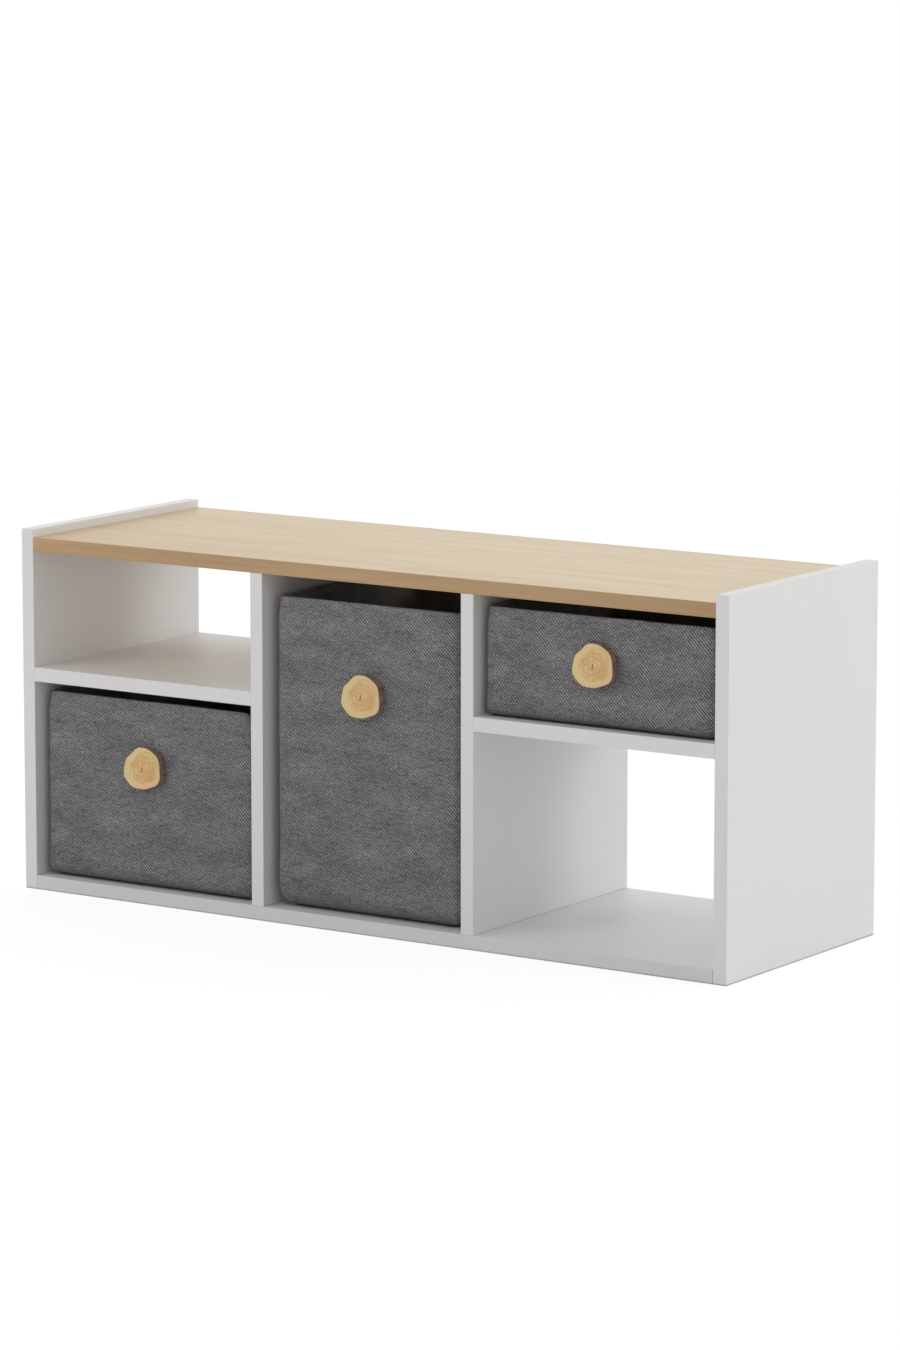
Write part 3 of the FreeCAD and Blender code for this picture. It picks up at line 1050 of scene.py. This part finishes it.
def knob_mesh(form, face_material, bark_material):
    low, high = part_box(f"{form.name}_bin_knob")
    rows = knob_rows(high.y - low.y)
    points = [(0.0, crack_dent(0, 0), 0.0)]
    for share, inset, depth, is_bark in rows:
        for spoke in range(knob_spokes):
            angle = 2 * pi * spoke / knob_spokes
            radius = (knob_outline(angle) - inset) * share
            if is_bark and inset == 0:
                ridge = level_direction(angle) * bark_grain + Vector((0, 0, depth * bark_grain_along))
                radius += bark_depth * (noise.noise(ridge + form.middle * 13) - 0.5)
            x = radius * cos(angle)
            z = radius * sin(angle)
            points.append((x, depth + crack_dent(x, z) * (depth == 0), z))
    faces = [(0, 1 + (spoke + 1) % knob_spokes, 1 + spoke) for spoke in range(knob_spokes)]
    shell = shell_faces(len(rows), knob_spokes)
    faces += [[1 + corner for corner in face] for face in shell[:-2] + shell[-1:]]
    slots = [0] * knob_spokes + [int(row[3]) for row in rows[1:] for spoke in range(knob_spokes)] + [1]
    vertices = [(form.knob.x + x, low.y + y, form.knob.z + z) for x, y, z in points]
    mesh = new_mesh(f"{form.name}_bin_branch_knob", vertices, faces, face_material, bark_material)
    mesh.polygons.foreach_set("material_index", slots)
    mesh.shade_smooth()
    store(mesh, "growth", [0.0] + [row[0] for row in rows for spoke in range(knob_spokes)])
    corners = [points[loop.vertex_index] for loop in mesh.loops]
    store_uv(mesh, "slice", [(x, z) for x, _, z in corners])
    return mesh


print("knob:", knob_rings, "rings by", knob_spokes, "spokes")

# %% [markdown]
# ## Knob finishes
# The face is pale sanded wood: creamy sapwood under the bark, tan heartwood, thin rings that wander
# and break up, and an orange flush low on one side. The pattern reads a UV map of metres from the
# heart, so all three slices look as if they came off one branch. The bark is brown and rough.

# %% Branch finishes
sapwood_cream = (0.800, 0.612, 0.300)
sapwood_pink = (0.790, 0.548, 0.325)
heart_tan = (0.730, 0.478, 0.196)
heart_dark = (0.560, 0.360, 0.150)
heart_pale = (0.880, 0.740, 0.480)
flush_orange = (0.690, 0.375, 0.125)
# colour of the crack: partly its own darker wood, partly painted shade of its depth
crack_shade_brown = (0.310, 0.180, 0.062)


def branch_face_pattern(place):
    growth = stored(place, "growth")
    slice_map = uv_map(place, "slice")
    across, up, _ = axes(slice_map)
    wander = cloud(slice_map, 0.013, detail=3, roughness=0.45)
    breaks = cloud(slice_map, 0.010)
    fibre = cloud(slice_map, 0.0009)
    waves = wave(growth * 4.6 + wander * 2.6, 1)
    inside = 1 - between(growth + wander * 0.24 - across * 5 - up * 4, 0.76, 0.98)
    late = between(waves, 0.2, 1.0) * between(breaks, 0.40, 0.60)
    early = between(0 - waves, 0.55, 0.95) * between(1 - breaks, 0.46, 0.56)
    flush = between(across * 0.75 - up * 0.65, 0.002, 0.019) * inside
    colour = mixed(late * 0.75, heart_tan, heart_dark)
    colour = mixed(early * 0.65, colour, heart_pale)
    colour = mixed(flush * 0.65, colour, flush_orange)
    sapwood = mixed(between(across - up * 0.4, 0.006, 0.024) * 0.8, sapwood_cream, sapwood_pink)
    colour = mixed(inside, sapwood, colour)
    # The crack is painted dark: partly its own darker wood, partly painted shade of its depth.
    crack = between(0.0017 - (across - up * crack_lean).math("ABSOLUTE"), 0.0, 0.0012)
    crack = crack * between(crack_half_height - up.math("ABSOLUTE"), 0.0, 0.0025)
    colour = mixed(crack * 0.8, colour, crack_shade_brown)
    colour = mixed(fibre * 0.16, colour, heart_dark)
    return colour, 0.5 + fibre * 0.2, fibre - late * 0.6, 0.00008


def bark_pattern(place):
    ridges = cloud(place, (0.0022, 0.009, 0.0022), detail=4, roughness=0.65)
    lichen = cloud(place, 0.005)
    colour = mixed(between(ridges, 0.3, 0.7), (0.142, 0.094, 0.065), (0.338, 0.232, 0.158))
    colour = mixed(between(lichen, 0.55, 0.75) * 0.4, colour, (0.38, 0.30, 0.21))
    return colour, 0.8 + ridges * 0.15, ridges, 0.0005


branch_face = finish("branch_face", branch_face_pattern)
bark = finish("branch_bark", bark_pattern)
for form in bins:
    add_piece(form, knob_mesh(form, branch_face, bark), "branch_wood", stands_for="knob")

# %% [markdown]
# ## Stitches
# The lining is sewn to the cover just under the rim, and the cover is closed by an upright seam at
# the middle of its back. There are hundreds of stitches, each a short bow of thread, so a Geometry
# Nodes tree lays one at every step along a line. Each point of the line stores which way the cloth
# faces, so the bows stand out from it.

# %% Stitch tree
stitch_inputs = {"Line": "Geometry", "Spacing": "Float", "Stitch length": "Float",
                 "Thread radius": "Float", "Bow height": "Float", "Thread": "Material"}


def stitch_tree():
    """The node tree that turns edges into stitches, and the identifiers of its inputs."""
    tree = bpy.data.node_groups.new("stitches_along_a_line", "GeometryNodeTree")
    names = {}
    for name, kind in stitch_inputs.items():
        made = tree.interface.new_socket(name, in_out="INPUT", socket_type=f"NodeSocket{kind}")
        names[name] = made.identifier
    tree.interface.new_socket("Stitches", in_out="OUTPUT", socket_type="NodeSocketGeometry")
    given = tree.nodes.new("NodeGroupInput").outputs
    line, spacing, length, radius, height, sewing_thread = [Signal(given[name]) for name in stitch_inputs]
    make = line.make
    ends = [make("ShaderNodeCombineXYZ", {"X": length * side}) for side in (-0.5, 0.5)]
    top = make("ShaderNodeCombineXYZ", {"Z": height * 2.0})
    bow = make("GeometryNodeCurveQuadraticBezier",
               {"Resolution": 4, "Start": ends[0], "Middle": top, "End": ends[1]})
    section = make("GeometryNodeCurvePrimitiveCircle", {"Resolution": 6, "Radius": radius})
    stitch = make("GeometryNodeCurveToMesh", {"Curve": bow, "Profile Curve": section, "Fill Caps": True})
    curve = make("GeometryNodeMeshToCurve", {"Mesh": line})
    points = make("GeometryNodeCurveToPoints", {"Curve": curve, "Length": spacing}, mode="LENGTH")
    tangent = Signal(points.socket.node.outputs["Tangent"])
    facing = make("GeometryNodeInputNamedAttribute", {"Name": "facing"}, data_type="FLOAT_VECTOR")
    along = make("FunctionNodeAlignRotationToVector", {"Vector": tangent}, axis="X")
    turned = make("FunctionNodeAlignRotationToVector", {"Rotation": along, "Vector": facing},
                  axis="Z", pivot_axis="X")
    placed = make("GeometryNodeInstanceOnPoints",
                  {"Points": points, "Instance": stitch, "Rotation": turned})
    real = make("GeometryNodeRealizeInstances", {"Geometry": placed})
    sewn = make("GeometryNodeSetMaterial", {"Geometry": real, "Material": sewing_thread})
    make("NodeGroupOutput", {"Stitches": sewn})
    return tree, names


stitch_nodes, stitch_names = stitch_tree()
print("stitch tree:", len(stitch_nodes.nodes), "nodes, inputs", list(stitch_names))

# %% [markdown]
# The lines come from the same function as the walls, so the stitches follow every bow and dip. The
# modifier's inputs are set by their identifiers before anything is evaluated, the result is copied
# into a plain mesh, and the modifier and its line are thrown away.

# %% Sew the seams
rim_seam_drop = 0.004          # below the rim, inside
back_seam_margin = 0.010       # from foot and rim
thread_lift = 0.0001
stitch_settings = {"Spacing": 0.0034, "Stitch length": 0.0026, "Thread radius": 0.00028,
                   "Bow height": 0.00030, "Thread": thread}


def seam_point(form, column, inset, height, side):
    """A point just off the cloth, and the way the cloth faces; side is 1 outside and -1 inside."""
    facing = outline_point(form, column, inset)[1] * side
    return bin_point(form, column, inset, height) + facing * thread_lift, facing


def seams(form):
    """The closed line under the rim, on the lining, and the upright one at the middle of the back."""
    height = form.height - rim_seam_drop
    rim = [seam_point(form, column, inside_inset, height, -1) for column in form.columns]
    rows = wall_rise(0.0, form.foot_height + back_seam_margin, form.height - back_seam_margin)
    back = [seam_point(form, form.columns[0], *row, 1) for row in rows]
    return rim + rim[:1], back


def sew(name, lines):
    """A plain mesh of stitches along these lines."""
    points = [point for line in lines for point in line]
    edges = []
    start = 0
    for line in lines:
        edges += [(step, step + 1) for step in range(start, start + len(line) - 1)]
        start += len(line)
    mesh = new_mesh(f"{name}_lines", [place for place, _ in points], [], edges=edges)
    facings = [number for _, facing in points for number in facing]
    store(mesh, "facing", facings, "FLOAT_VECTOR", "vector")
    holder = in_scene(mesh.name, mesh)
    modifier = holder.modifiers.new("stitches", "NODES")
    modifier.node_group = stitch_nodes
    for size, value in stitch_settings.items():
        modifier[stitch_names[size]] = value
    evaluated = holder.evaluated_get(bpy.context.evaluated_depsgraph_get())
    sewn = bpy.data.meshes.new_from_object(evaluated)
    holder.modifiers.remove(modifier)
    bpy.data.objects.remove(holder)
    sewn.name = name
    sewn.materials.pop(index=0)            # the line's own empty slot
    sewn.polygons.foreach_set("material_index", [0] * len(sewn.polygons))
    sewn.shade_smooth()
    return sewn


for form in bins:
    add_piece(form, sew(f"{form.name}_bin_stitches", seams(form)), "bin_fabric")
